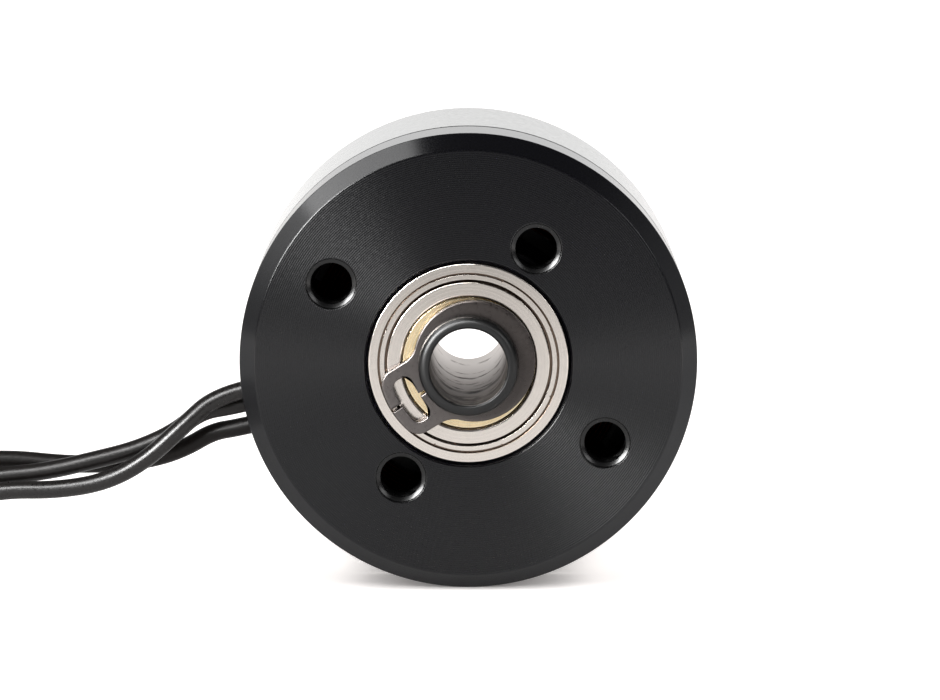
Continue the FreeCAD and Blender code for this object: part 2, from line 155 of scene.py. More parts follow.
def turnedMetal(name, spec):
    # Lathe finish: rings about the axis stretch the sheen across them, and uneven gloss gives a faint fleck
    made, tree, place = newMaterial(name)
    radius = axisRadius(tree, place)
    rings = toolMarks(tree, radius if spec["rings"] == "face" else axisDepth(tree, place), spec)
    gloss = grainAndGloss(tree, place, spec, detail=3.0)[1]
    if "ringGloss" in spec:
        gloss = node(tree, "Math", timesPlus, rings, spec["ringGloss"], gloss)
    for start, end, roughness in spec.get("zones", []):
        inZone = node(tree, "MapRange", {}, radius, start, end)
        gloss = node(tree, "Mix", {}, inZone, gloss, roughness)
    tone = node(tree, "Mix", colours, rings, linear(spec["dark"]), linear(spec["light"]))
    # Painted shade: a brown tone in the gaps beside the shield, between the given radii or outside them
    if "gapShade" in spec:
        inGapShade = between(tree, radius, *spec["gapShadeFrom"])
        if spec["gapShadeOutside"]:
            inGapShade = node(tree, "Math", {"operation": "SUBTRACT"}, 1.0, inGapShade)
        tone = node(tree, "Mix", colours, inGapShade, tone, linear(spec["gapShade"]))
    tangent = node(tree, "Tangent", {"direction_type": "RADIAL", "axis": "Y"})
    closeMaterial(tree, spec, rings, Base_Color=tone, Roughness=gloss, Metallic=spec["metallic"],
                  Anisotropic=spec["stretch"], Anisotropic_Rotation=acrossRings, Tangent=tangent)
    return made


# Black dyed anodic film on turned aluminium: satin, with a sheen stretched across the turning rings, drawn
# coarser than real ones so that they show. The zones are the chamfer and the wall: the radius where each
# begins, where it is full, and its roughness
blackAnodised = turnedMetal("blackAnodisedTurnedAluminium", {
    "rings": "face", "feed": 0.125, "drift": 0.05, "height": 0.0012, "strength": 1.0, "grain": 0.25,
    "dark": "#04040a", "light": "#05050c", "roughness": 0.17, "spread": 0.02, "metallic": 0.0, "stretch": 0.9,
    "ringGloss": 0.15, "zones": [(12.78, 12.82, 0.27), (13.72, 13.74, 0.13)],
})
# The same film in a tapped hole: next to no turning rings, so it is even and black
blackTapped = turnedMetal("blackAnodisedTappedAluminium", {
    "rings": "wall", "feed": 0.5, "drift": 0.05, "height": 0.0005, "strength": 0.3, "grain": 0.25,
    "dark": "#050506", "light": "#070708", "roughness": 0.26, "spread": 0.02, "metallic": 0.0, "stretch": 0.0,
})
# Clear anodised turned aluminium: pale, with faint rings along the wall, drawn coarser than real ones
silverAnodised = turnedMetal("clearAnodisedTurnedAluminium", {
    "rings": "wall", "feed": 0.4, "drift": 0.2, "height": 0.001, "strength": 0.6, "grain": 0.3,
    "dark": "#bcbcbb", "light": "#c4c4c3", "roughness": 0.24, "spread": 0.03, "metallic": 1.0, "stretch": 0.3,
})
# Bearing steel: warm grey and even, with painted shade in brown along the gaps at the edges of the shield
bearingFinish = {
    "rings": "face", "feed": 0.2, "drift": 0.4, "height": 0.0004, "strength": 0.5, "grain": 0.4,
    "dark": "#eae2da", "light": "#f0e8e0", "metallic": 1.0, "stretch": 0.0, "gapShade": "#78685c",
}
# Ground rings: a soft sheen
bearingSteel = turnedMetal("groundBearingSteel", {
    **bearingFinish, "roughness": 0.18, "spread": 0.02, "gapShadeFrom": (4.86, 5.45), "gapShadeOutside": False,
})
# Pressed sheet of the shields: a little duller than the ground rings
shieldSteel = turnedMetal("pressedShieldSteel", {
    **bearingFinish, "roughness": 0.2, "spread": 0.03, "gapShadeFrom": (5.05, 5.31), "gapShadeOutside": True,
})
# Turned brass: yellow metal with fine rings
turnedBrass = turnedMetal("turnedBrass", {
    "rings": "face", "feed": 0.2, "drift": 0.3, "height": 0.0008, "strength": 0.5, "grain": 0.3,
    "dark": "#ffe6b8", "light": "#fff0cc", "roughness": 0.22, "spread": 0.04, "metallic": 1.0, "stretch": 0.4,
})
# Nickel plated magnets: bright, with the softness of barrel plating
nickelPlate = turnedMetal("nickelPlatedMagnet", {
    "rings": "wall", "feed": 0.5, "drift": 0.5, "height": 0.0005, "strength": 0.3, "grain": 0.3,
    "dark": "#c2bdb2", "light": "#cfcabf", "roughness": 0.3, "spread": 0.06, "metallic": 1.0, "stretch": 0.0,
})
# Turned flux ring of mild steel: plain grey
mildSteel = turnedMetal("turnedMildSteel", {
    "rings": "wall", "feed": 0.3, "drift": 0.3, "height": 0.001, "strength": 0.5, "grain": 0.3,
    "dark": "#8d8d8d", "light": "#a0a0a0", "roughness": 0.4, "spread": 0.05, "metallic": 1.0, "stretch": 0.2,
})


def stampedSteel(name, spec):
    # Stamped strip: fine grain in gloss and height, and a tone that grows paler along a line across the axis
    made, tree, place = newMaterial(name)
    turn = math.radians(spec["palerTowards"])
    line = (math.cos(turn) / mm, 0.0, math.sin(turn) / mm)
    along = node(tree, "VectorMath", {"operation": "DOT_PRODUCT"}, place, line)
    towardsLug = node(tree, "MapRange", {}, along, *spec["palerSpan"])
    tone = node(tree, "Mix", colours, towardsLug, linear(spec["dark"]), linear(spec["light"]))
    grain, gloss = grainAndGloss(tree, place, spec, detail=4.0)
    closeMaterial(tree, spec, grain, Base_Color=tone, Roughness=gloss, Metallic=1.0)
    return made


# Stamped spring steel, blacked: dark grey, paler towards its lugs
springSteel = stampedSteel("blackedSpringSteel", {
    "grain": 0.2, "height": 0.005, "strength": 0.2, "roughness": 0.3, "spread": 0.04,
    "dark": "#4e4947", "light": "#6e6967", "palerTowards": 211.5, "palerSpan": (-3.0, 4.5),
})


def shaftSteel(name, spec):
    # Black oxide outside and bare steel in the bore, which meet at a radius; uneven dark bands ring the bore,
    # fewer with depth, and painted shade darkens the bore towards its front, so the bands grow weaker with
    # depth
    made, tree, place = newMaterial(name)
    depth = axisDepth(tree, place)
    inBore = node(tree, "MapRange", {}, axisRadius(tree, place), *spec["boreFrom"])
    line = node(tree, "CombineXYZ", {}, depth)
    bands = node(tree, "TexNoise", {}, Vector=line, Scale=1 / spec["band"], Detail=3.0)
    mottle = node(tree, "TexNoise", {}, Vector=place, Scale=1 / (spec["mottle"] * mm), Detail=4.0)
    mixed = node(tree, "Mix", {}, spec["mottleShare"], bands, mottle)
    sparser = node(tree, "Math", timesPlus, depth, spec["thinning"], mixed)
    clean = node(tree, "MapRange", {}, sparser, *spec["bandRange"])
    # Painted shade: the bore's tone darkens towards its front
    paler = node(tree, "MapRange", {}, depth, *spec["pale"])
    bright = node(tree, "Math", times, clean, paler)
    bare = node(tree, "Mix", colours, bright, linear(spec["bareDark"]), linear(spec["bareLight"]))
    tone = node(tree, "Mix", colours, inBore, linear(spec["black"]), bare)
    boreGloss = node(tree, "Mix", {}, bright, spec["dirtRoughness"], spec["bareRoughness"])
    gloss = node(tree, "Mix", {}, inBore, spec["blackRoughness"], boreGloss)
    height = node(tree, "Math", times, bright, inBore)
    closeMaterial(tree, spec, height, Base_Color=tone, Roughness=gloss, Metallic=inBore)
    return made


# Black oxide steel shaft: black nose with a soft sheen, machined bare bore. Pale gives two depths, then how
# much of the bore's light tone shows at them: painted shade that darkens the bore towards its front
blackShaft = shaftSteel("blackOxideShaftSteel", {
    "boreFrom": (2.33, 2.31), "band": 1.6, "mottle": 0.8, "mottleShare": 0.3, "thinning": 0.008,
    "bandRange": (0.42, 0.54), "pale": (0.0, 17.0, 0.28, 1.0), "height": 0.1, "strength": 1.0,
    "black": "#060607", "bareDark": "#1e1a17", "bareLight": "#b0a59d",
    "blackRoughness": 0.36, "bareRoughness": 0.3, "dirtRoughness": 0.6,
})


def softCoat(name, spec):
    # Insulation, resin, moulded plastic and tin: a plain tone with fine grain in tone, gloss and height
    made, tree, place = newMaterial(name)
    grain, gloss = grainAndGloss(tree, place, spec, detail=4.0)
    tone = node(tree, "Mix", colours, grain, linear(spec["dark"]), linear(spec["light"]))
    closeMaterial(tree, spec, grain, Base_Color=tone, Roughness=gloss, IOR=spec["index"])
    return made


plainCoat = {"spread": 0.05, "index": 1.5}  # what most coats share
# Extruded silicone insulation: satin black with a dusty grain; roughness and index differ from lead to lead,
# because more dust lies on the two behind
leadCoat = {
    **plainCoat, "grain": 0.16, "height": 0.032, "strength": 0.15, "dark": "#161413", "light": "#282321",
}
leadGloss = {"a": (0.3, 1.5), "b": (0.34, 1.4), "c": (0.4, 1.28)}
leadSilicone = {}
for leadLetter, (leadRoughness, leadIndex) in leadGloss.items():
    leadSilicone[leadLetter] = softCoat("extrudedSiliconeInsulation_" + leadLetter, {
        **leadCoat, "roughness": leadRoughness, "index": leadIndex,
    })
# Cast epoxy resin: glossy near-black
epoxyResin = softCoat("castEpoxyResin", {
    **plainCoat, "grain": 0.6, "height": 0.12, "strength": 0.2, "dark": "#121213", "light": "#1b1b1c",
    "roughness": 0.2,
})
# Moulded nylon of the insulators: dull black
mouldedNylon = softCoat("mouldedNylon", {
    **plainCoat, "grain": 0.3, "height": 0.06, "strength": 0.1, "dark": "#101011", "light": "#17171a",
    "roughness": 0.5,
})
# Moulded polyethylene of the tie: dull black
tiePlastic = softCoat("mouldedTiePolyethylene", {
    **plainCoat, "grain": 0.25, "height": 0.05, "strength": 0.15, "dark": "#1a1a1b", "light": "#232324",
    "roughness": 0.5,
})
# Tinned copper strands: bright and smooth
tinnedCopper = softCoat("tinnedCopperStrand", {
    **plainCoat, "grain": 0.3, "height": 0.06, "strength": 0.2, "dark": "#b9b7b2", "light": "#d2d0cb",
    "roughness": 0.3,
})


def stripedMetal(name, spec):
    # Stacked or wound metal: round ridges side by side, each one pitch wide, from the size of a sine
    made, tree, place = newMaterial(name)
    along = axisRadius(tree, place) if spec["rows"] == "radius" else axisDepth(tree, place)
    turns = node(tree, "Math", times, along, math.pi / spec["pitch"])
    wave = node(tree, "Math", {"operation": "SINE"}, turns)
    ridge = node(tree, "Math", {"operation": "ABSOLUTE"}, wave)
    tone = node(tree, "Mix", colours, ridge, linear(spec["groove"]), linear(spec["crest"]))
    closeMaterial(tree, spec, ridge, Base_Color=tone, Roughness=spec["roughness"], Metallic=1.0)
    return made


# Enamelled copper wire, wound side by side: red-brown under clear varnish, in a tone darker than the wire's
# own as painted shade, since the windings show only down the holes
enamelledCopper = stripedMetal("enamelledCopperWire", {
    "rows": "radius", "pitch": 0.26, "height": 0.13, "strength": 0.9,
    "groove": "#0e0402", "crest": "#3a180d", "roughness": 0.45,
})
# Stacked electrical steel sheets: grey with a line at each sheet
electricalSteel = stripedMetal("stackedElectricalSteel", {
    "rows": "depth", "pitch": 0.35, "height": 0.175, "strength": 0.9,
    "groove": "#1c1c1d", "crest": "#3c3c3e", "roughness": 0.5,
})
print("materials made")

# Leads: the same route points as the solids, then turns of a flat coil; millimetres, but lengths in metres
leads = {
    "diameter": 1.1,
    "routes": {
        "a": [(-13.440, 3.85, -2.068), (-15.384, 3.85, -2.539), (-17.20, 3.35, -4.17), (-19.55, 3.20, -6.34),
              (-22.00, 3.20, -7.67), (-25.00, 3.25, -8.18), (-28.40, 3.30, -8.15), (-31.80, 3.30, -9.00),
              (-35.00, 3.50, -10.90), (-38.20, 3.80, -12.50), (-41.20, 4.00, -12.92), (-44.0, 4.0, -12.92)],
        "b": [(-13.229, 4.70, -2.943), (-14.395, 4.70, -3.225), (-16.30, 4.80, -3.55), (-17.90, 4.70, -4.85),
              (-20.20, 4.55, -5.88), (-22.80, 4.45, -6.52), (-25.80, 4.40, -7.22), (-29.00, 4.40, -7.50),
              (-32.20, 4.40, -8.15), (-35.60, 4.20, -9.75), (-38.80, 4.05, -11.30), (-41.60, 4.00, -11.77),
              (-44.0, 4.0, -11.77)],
        "c": [(-12.888, 5.30, -4.353), (-14.054, 5.30, -4.635), (-15.60, 5.45, -4.90), (-17.30, 5.70, -5.95),
              (-19.20, 5.80, -6.61), (-21.60, 5.90, -6.95), (-24.60, 5.90, -6.99), (-28.00, 5.75, -6.60),
              (-31.40, 5.45, -6.75), (-34.90, 4.95, -7.90), (-38.20, 4.40, -9.70), (-41.10, 4.00, -10.62),
              (-44.0, 4.0, -10.62)],
    },
    "lengths": {"a": 0.1510, "b": 0.1500, "c": 0.1502},
    "coilCentre": (-48.5, 11.65),
    "coilRadii": (7.65, 4.35),
    "coilTurns": 3,
    "coilLead": 0.6,  # how far before the coil's centre the straight run ends
    "pointsPerTurn": 16,
    "fewestPoints": 4,
    "tipDiameter": 0.6,
    "tipTurn": 0.1,
    "roundSteps": 6,
    "lengthSteps": 8,
}


def coilPoints(spec, level, start, end):
    # Flat spiral: the angle falls and the radius shrinks evenly from turn start to turn end; the points stand
    # out a little, because the smooth line runs inside them
    count = max(spec["fewestPoints"], round((end - start) * spec["pointsPerTurn"]) + 1)
    turn = np.linspace(start, end, count)
    outer, inner = spec["coilRadii"]
    swell = 1 / math.cos(math.pi / spec["pointsPerTurn"])
    radius = (outer + (inner - outer) * turn / spec["coilTurns"]) * swell
    angle = -math.pi / 2 - 2 * math.pi * turn
    x = spec["coilCentre"][0] + radius * np.cos(angle)
    y = spec["coilCentre"][1] + radius * np.sin(angle)
    return np.stack([x, y, np.full(count, level)], axis=1)


def addCurve(name, points, diameter, material, spec):
    # Round tube along a smooth line through the middle of each leg between points
    data = bpy.data.curves.new(name, "CURVE")
    data.dimensions = "3D"
    data.bevel_depth = diameter / 2 * mm
    data.bevel_resolution = spec["roundSteps"]
    data.resolution_u = spec["lengthSteps"]
    data.use_fill_caps = True
    line = data.splines.new("NURBS")
    line.points.add(len(points) - 1)
    weighted = np.concatenate([points * mm, np.ones((len(points), 1))], axis=1)
    line.points.foreach_set("co", weighted.astype(np.float32).ravel())
    line.order_u = 3
    line.use_endpoint_u = True
    data.materials.append(material)
    made = bpy.data.objects.new(name, data)
    scene.collection.objects.link(made)
    return made


def addLeads(spec):
    for letter, route in spec["routes"].items():
        level = route[-1][2]
        straight = np.array([(spec["coilCentre"][0] + spec["coilLead"], route[-1][1], level)])
        turns = coilPoints(spec, level, 0, spec["coilTurns"])[1:]
        points = np.concatenate([np.array(route), straight, turns])
        lead = addCurve("lead_" + letter, points, spec["diameter"], leadSilicone[letter], spec)
        tipPoints = coilPoints(spec, level, spec["coilTurns"], spec["coilTurns"] + spec["tipTurn"])
        tip = addCurve("lead_tip_" + letter, tipPoints, spec["tipDiameter"], tinnedCopper, spec)
        for piece in (lead, tip):
            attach(piece, "stator")
        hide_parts("phase_" + letter + "_lead", "lead_coil")


addLeads(leads)
print("leads laid")

weldSteps = 5000  # per millimetre: points in the same step are one


def grid(x, y, z):
    # Points from three arrays or numbers
    return np.stack(np.broadcast_arrays(x, y, z), axis=-1)


def surface(points, wrapRows=False, wrapColumns=False):
    # Four-cornered faces between neighbouring points of a grid
    rows, columns = points.shape[:2]
    i = np.arange(rows if wrapRows else rows - 1)[:, None]
    j = np.arange(columns if wrapColumns else columns - 1)[None, :]
    below, beside = (i + 1) % rows, (j + 1) % columns
    corners = [i * columns + j, below * columns + j, below * columns + beside, i * columns + beside]
    return points.reshape(-1, 3), np.stack(np.broadcast_arrays(*corners), axis=-1).reshape(-1, 4)


def addPiece(name, patches, material, body, nodes, crease=32, holes=(), holeMaterial=None):
    # One mesh from all patches: points that meet become one, and the faces are turned outwards
    plain = sum(len(quads) for points, quads in patches)
    patches = [*patches, *holes]
    starts = np.cumsum([0] + [len(points) for points, quads in patches[:-1]])
    spots = np.concatenate([points for points, quads in patches])
    faces = np.concatenate([quads + start for (points, quads), start in zip(patches, starts)])
    steps = np.round(spots * weldSteps).astype(np.int64)
    _, first, welded = np.unique(steps, axis=0, return_index=True, return_inverse=True)
    faces = welded.ravel()[faces]
    mesh = bpy.data.meshes.new(name)
    mesh.from_pydata((spots[first] * mm).tolist(), [], faces.tolist())
    work = bmesh.new()
    work.from_mesh(mesh)
    bmesh.ops.recalc_face_normals(work, faces=work.faces)
    loose = sum(edge.is_boundary for edge in work.edges)
    work.to_mesh(mesh)
    work.free()
    mesh.shade_smooth()
    mesh.set_sharp_from_angle(angle=math.radians(crease))
    mesh.materials.append(material)
    if holes:
        mesh.materials.append(holeMaterial)
        mesh.polygons.foreach_set("material_index", (np.arange(len(faces)) >= plain).astype(np.int32))
    made = bpy.data.objects.new(name, mesh)
    scene.collection.objects.link(made)
    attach(made, body)
    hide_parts(*nodes)
    print(name, "faces", len(faces), "open edges", loose)
    return made


def outline(corners, closed=True, steps=5, holdShare=0.25, holdMost=0.02):
    # Line through (radius, y) corners, where a third number turns the corner into an arc of that radius;
    # a point just beyond each end of the arc keeps the flats beside it flat
    spots = np.array([corner[:2] for corner in corners], float)
    count = len(corners)
    parts = []
    for i, corner in enumerate(corners):
        here = spots[i]
        if len(corner) == 2 or (not closed and i in (0, count - 1)):
            parts.append(here[None])
            continue
        back = spots[i - 1] - here
        ahead = spots[(i + 1) % count] - here
        back, ahead = back / np.linalg.norm(back), ahead / np.linalg.norm(ahead)
        half = math.acos(np.clip(back @ ahead, -1, 1)) / 2
        middle = back + ahead
        centre = here + middle / np.linalg.norm(middle) * corner[2] / math.sin(half)
        first = here + back * corner[2] / math.tan(half) - centre
        last = here + ahead * corner[2] / math.tan(half) - centre
        span = math.pi - 2 * half
        share = np.linspace(0, 1, steps + 1)[:, None]
        bend = centre + (np.sin((1 - share) * span) * first + np.sin(share * span) * last) / math.sin(span)
        hold = min(holdShare * corner[2], holdMost)
        parts.extend([bend[:1] + back * hold, bend, bend[-1:] + ahead * hold])
    return np.concatenate(parts)


def lathe(line, angles, closed=True):
    # Outline carried round the axis: x = r cos a, z = r sin a
    radius, along = line[:, 0], line[:, 1]
    x = np.cos(angles)[:, None] * radius
    z = np.sin(angles)[:, None] * radius
    return surface(grid(x, along, z), wrapRows=True, wrapColumns=closed)


def evenAngles(count):
    # Angles of a whole turn in equal steps
    return np.linspace(0, 2 * math.pi, count, endpoint=False)


# Holes are given by their distance from the axis and their angle in degrees. A thread's flank would rise past
# its full depth, and is cut flat there
threadForm = {"rise": 1.2, "slope": 2.6}


def holeSectors(holes, perSector):
    # Each hole's share of the ring: from halfway to the hole before to halfway to the hole after
    middles = np.radians(np.array(holes)[:, 1])
    after = np.roll(middles, -1)
    after = np.where(after < middles, after + 2 * math.pi, after)
    ends = (middles + after) / 2
    starts = np.roll(ends, 1)
    starts = np.where(starts > middles, starts - 2 * math.pi, starts)
    angles = [np.linspace(start, end, perSector, endpoint=False) for start, end in zip(starts, ends)]
    return list(zip(middles, starts, ends)), np.concatenate(angles)


def holeLoop(sector, reach, inner, outer, perSector, sideSteps):
    # Edge of one sector in (angle, radius): inner arc, far side, outer arc, near side
    middle, start, end = sector
    along = np.linspace(start, end, perSector + 1)
    up = np.linspace(inner, outer, sideSteps + 1)
    angle = np.concatenate([along[:-1], np.full(sideSteps, end), along[:0:-1], np.full(sideSteps, start)])
    radius = np.concatenate([np.full(perSector, inner), up[:-1], np.full(perSector, outer), up[:0:-1]])
    heading = np.arctan2(radius - reach, (angle - middle) * reach)
    return angle, radius, heading


def onCircle(middle, reach, heading, radius):
    # Points of a hole's edge in (x, z): out from the hole's centre along and across its radius
    outwards = np.array([math.cos(middle), math.sin(middle)])
    sideways = np.array([-math.sin(middle), math.cos(middle)])
    along, across = np.sin(heading)[..., None], np.cos(heading)[..., None]
    return outwards * reach + radius[..., None] * (across * sideways + along * outwards)


def drilledRing(inner, outer, y, holes, mouth, headings, perSector=64, sideSteps=20, steps=10, crowding=2):
    # Flat ring with holes: in the plane of angle and radius, straight lines run from each hole to the edge of
    # its sector, in steps that crowd towards the hole
    sectors, angles = holeSectors(holes, perSector)
    share = np.linspace(0, 1, steps + 1)[None, 1:] ** crowding
    patches = []
    loops = []
    for k, sector in enumerate(sectors):
        middle, reach = sector[0], holes[k][0]
        angle, radius, heading = holeLoop(sector, reach, inner, outer, perSector, sideSteps)
        heading = heading if headings is None else headings[k]
        edge = onCircle(middle, reach, heading, np.full(len(heading), mouth))
        edgeRadius = np.hypot(edge[:, 0], edge[:, 1])
        edgeAngle = middle + np.angle(np.exp(1j * (np.arctan2(edge[:, 1], edge[:, 0]) - middle)))
        radii = edgeRadius[:, None] + (radius - edgeRadius)[:, None] * share
        turns = edgeAngle[:, None] + (angle - edgeAngle)[:, None] * share
        x = np.concatenate([edge[:, :1], radii * np.cos(turns)], axis=1)
        z = np.concatenate([edge[:, 1:], radii * np.sin(turns)], axis=1)
        patches.append(surface(grid(x, y, z), wrapRows=True))
        loops.append(heading)
    return patches, loops, angles


def holeDepths(spec, length):
    # Every corner of the mouth at both ends, and even steps along the thread between them
    ends = np.array(spec["mouthDepths"])
    thread = np.linspace(ends[-1], length - ends[-1], spec["steps"])
    return np.concatenate([ends[:-1], thread, length - ends[-2::-1]])


def threadedHoles(holes, headings, spec, front, rear):
    # Hole wall: a mouth profile at each end, and between them a thread whose groove climbs a pitch per turn
    length = abs(rear - front)
    depth = holeDepths(spec, length)[None, :]
    fromEnd = np.minimum(depth, length - depth)
    fade = np.clip((fromEnd - spec["mouthDepths"][-1]) / spec["pitch"], 0, 1)
    mouth = np.interp(fromEnd, spec["mouthDepths"], spec["mouthRadii"])
    patches = []
    for (reach, degrees), heading in zip(holes, headings):
        middle = np.radians(degrees)
        edge = onCircle(middle, reach, heading, np.ones(len(heading)))
        centre = np.array([math.cos(middle), math.sin(middle)]) * reach
        around = np.arctan2(edge[:, 0] - centre[0], edge[:, 1] - centre[1])[:, None]
        phase = (depth / spec["pitch"] - around / (2 * math.pi)) % 1
        flank = threadForm["rise"] - threadForm["slope"] * np.abs(phase - 0.5)
        groove = np.clip(flank, 0, 1) * spec["threadDepth"] * fade
        wall = np.where(fromEnd < spec["mouthDepths"][-1], mouth, spec["radius"] + groove)
        flat = onCircle(middle, reach, np.broadcast_to(heading[:, None], wall.shape), wall)
        y = front + depth * np.sign(rear - front)
        patches.append(surface(grid(flat[..., 0], y, flat[..., 1]), wrapRows=True))
    return patches


# Base: a drilled flange, a rim that is open at the leads, and the tube that holds core and bearings
base = {
    "rimRadius": 13.75, "faceRadius": 12.83, "chamferDepth": 1.0, "edge": 0.13,
    "innerMargin": 0.35, "outerMargin": 0.25,
    "flange": 3.0, "rimEnd": 5.9, "rimInner": 12.25, "rimBreak": 0.15, "innerBreak": 0.05, "rimSteps": 220,
    "seat": 6.01, "relief": 0.25, "reliefDepth": 0.5, "reliefEdge": 0.05,
    "notchAngle": 193.6, "notchWidth": 3.9,
    "holes": [(8.0, 59.6), (9.5, 149.7), (8.0, 239.6), (9.5, 329.7)],
    "thread": {"radius": 1.25, "pitch": 0.5, "threadDepth": 0.22, "steps": 45,
               "mouthDepths": [0.0, 0.012, 0.13, 0.177, 0.251],
               "mouthRadii": [1.56, 1.53, 1.475, 1.36, 1.25]},
    "tube": [(7.01, 3.0), (7.01, 5.7), (7.51, 6.2), (7.51, 7.4), (7.01, 7.4), (7.01, 16.95), (6.01, 16.95),
             (6.01, 13.35), (5.6, 13.35), (5.6, 3.6), (6.01, 3.6), (6.01, 3.0)],
    "tubeSegments": 160,
}


def baseFlange(spec):
    # Drilled front and back; outlines carried round the axis join them, chamfered outside and relieved inside
    holes, mouth, rear = spec["holes"], spec["thread"]["mouthRadii"][0], spec["flange"]
    seat, face, rim = spec["seat"], spec["faceRadius"], spec["rimRadius"]
    faceIn, faceOut = seat + spec["innerMargin"], face - spec["outerMargin"]
    frontRing, headings, angles = drilledRing(faceIn, faceOut, 0.0, holes, mouth, None)
    rearRing = drilledRing(seat, rim, rear, holes, mouth, headings)[0]
    outer = outline([(faceOut, 0), (face, 0, spec["edge"]), (rim, spec["chamferDepth"], spec["edge"]),
                     (rim, rear)], closed=False)
    inner = outline([(faceIn, 0), (seat + spec["relief"], 0, spec["reliefEdge"]),
                     (seat, spec["reliefDepth"], spec["reliefEdge"]), (seat, rear)], closed=False)
    walls = [lathe(outer, angles, closed=False), lathe(inner, angles, closed=False)]
    return frontRing + rearRing + walls, threadedHoles(holes, headings, spec["thread"], 0.0, rear)


def baseRim(spec):
    # Rim section carried round from one side of the notch to the other; the notch sides stay parallel
    front, rear, rim, inner = spec["flange"], spec["rimEnd"], spec["rimRadius"], spec["rimInner"]
    rimBreak, innerBreak = spec["rimBreak"], spec["innerBreak"]
    line = np.array([(rim, front), (rim, rear - rimBreak), (rim - rimBreak, rear),
                     (inner + innerBreak, rear), (inner, rear - innerBreak), (inner, front)])
    half = np.arcsin(spec["notchWidth"] / 2 / line[:, 0])
    share = np.linspace(0, 1, spec["rimSteps"])[:, None]
    angle = math.radians(spec["notchAngle"]) + half + share * (2 * math.pi - 2 * half)
    x, z = line[:, 0] * np.cos(angle), line[:, 0] * np.sin(angle)
    rings = grid(x, line[:, 1], z)
    caps = [surface(np.stack([ring[:3], ring[:2:-1]])) for ring in (rings[0], rings[-1])]
    return [surface(rings, wrapColumns=True)] + caps


flange, baseHoles = baseFlange(base)
tube = lathe(outline(base["tube"]), evenAngles(base["tubeSegments"]))
addPiece("base_turning", flange + baseRim(base) + [tube], blackAnodised, "stator", ["base_housing"],
         holes=baseHoles, holeMaterial=blackTapped)

# Bell: cup with a drilled end plate and a boss on the rear bearing
bell = {
    "radius": 13.75, "front": 6.3, "rear": 20.0, "edge": 0.3, "inner": 12.99, "plate": 17.4,
    "bore": 4.0, "boreEdge": 0.06, "boss": 4.68, "bossEnd": 16.85, "innerMargin": 0.2, "outerMargin": 0.1,
    "holes": [(6.0, 0.0), (6.0, 90.0), (6.0, 180.0), (6.0, 270.0)],
    "thread": {"radius": 0.8, "pitch": 0.4, "threadDepth": 0.18, "steps": 41,
               "mouthDepths": [0.0, 0.01, 0.03, 0.06, 0.18], "mouthRadii": [1.02, 1.0, 0.99, 0.98, 0.8]},
}


def bellCup(spec):
    # Drilled end plate; a cup outline outside and a boss outline at the bore are carried round the axis
    holes, mouth = spec["holes"], spec["thread"]["mouthRadii"][0]
    radius, inner, bore, boss = spec["radius"], spec["inner"], spec["bore"], spec["boss"]
    front, plate, rear = spec["front"], spec["plate"], spec["rear"]
    faceIn, faceOut = bore + spec["innerMargin"], radius - spec["edge"] - spec["outerMargin"]
    rearRing, headings, angles = drilledRing(faceIn, faceOut, rear, holes, mouth, None)
    plateRing = drilledRing(boss, inner, plate, holes, mouth, headings)[0]
    cupLine = outline([(faceOut, rear), (radius, rear, spec["edge"]), (radius, front), (inner, front),
                       (inner, plate)], closed=False)
    bossLine = outline([(boss, plate), (boss, spec["bossEnd"]), (bore, spec["bossEnd"]),
                        (bore, rear, spec["boreEdge"]), (faceIn, rear)], closed=False)
    walls = [lathe(cupLine, angles, closed=False), lathe(bossLine, angles, closed=False)]
    return rearRing + plateRing + walls + threadedHoles(holes, headings, spec["thread"], rear, plate)


addPiece("bell_turning", bellCup(bell), silverAnodised, "rotor", ["rotor_bell"])

# Shaft: nose with a round edge and a groove for the retaining ring, then the body through both bearings
shaft = {
    "profile": [(2.42, -1.8, 0.05), (3.0, -1.8, 0.45), (3.0, -0.78), (2.8, -0.78), (2.8, -0.02), (3.0, -0.02),
                (3.0, 1.1), (3.99, 1.1), (3.99, 20.0), (2.42, 20.0), (2.3, 19.88), (2.3, -1.68, 0.05)],
    "edgeSteps": 8, "segments": 192,
}
shaftLine = outline(shaft["profile"], steps=shaft["edgeSteps"])
addPiece("shaft_turning", [lathe(shaftLine, evenAngles(shaft["segments"]))], blackShaft, "rotor",
         ["hollow_shaft"])

# Spacer: plain ring between the shaft's nose and the bearing
spacer = {"profile": [(3.04, 0.3, 0.06), (3.96, 0.3, 0.06), (3.96, 1.1), (3.04, 1.1)], "segments": 160}
addPiece("spacer_turning", [lathe(outline(spacer["profile"]), evenAngles(spacer["segments"]))], turnedBrass,
         "rotor", ["brass_spacer"])

# Bearings: ring sections with ball tracks, and shields whose crimped edge steps in and out
bearing = {
    "fronts": {"front": 0.1, "rear": 13.35}, "width": 3.5, "bore": 4.0, "outer": 6.0, "innerRing": 4.88,
    "outerRing": 5.2, "pitchRadius": 5.0, "trackRadius": 0.63, "trackSteps": 12, "trackMargin": 0.5,
    "shieldSeat": 5.43, "seatDepth": 0.28, "seatEdge": 0.03, "edge": 0.06, "boreEdge": 0.14, "segments": 192,
    "shieldInner": 5.03, "shieldOuter": 5.37, "shieldRecess": 0.08, "shieldThick": 0.2,
    "shieldInnerEdge": 0.05, "shieldOuterEdge": 0.06, "shieldSegments": 720,
    "crimps": 8, "crimpTurn": 22.5, "crimpStep": 0.05, "nickHalf": 0.8, "nickDepth": 0.07,
}


def trackArc(spec, front, side):
    # Part of the ball circle that lies inside a ring, from its front edge to its rear edge
    edge = spec["outerRing"] if side > 0 else spec["innerRing"]
    cut = math.acos((edge - spec["pitchRadius"]) * side / spec["trackRadius"])
    turn = np.linspace(cut, -cut, spec["trackSteps"])
    radius = spec["pitchRadius"] + side * spec["trackRadius"] * np.cos(turn)
    return np.stack([radius, front + spec["width"] / 2 - spec["trackRadius"] * np.sin(turn)], axis=1)


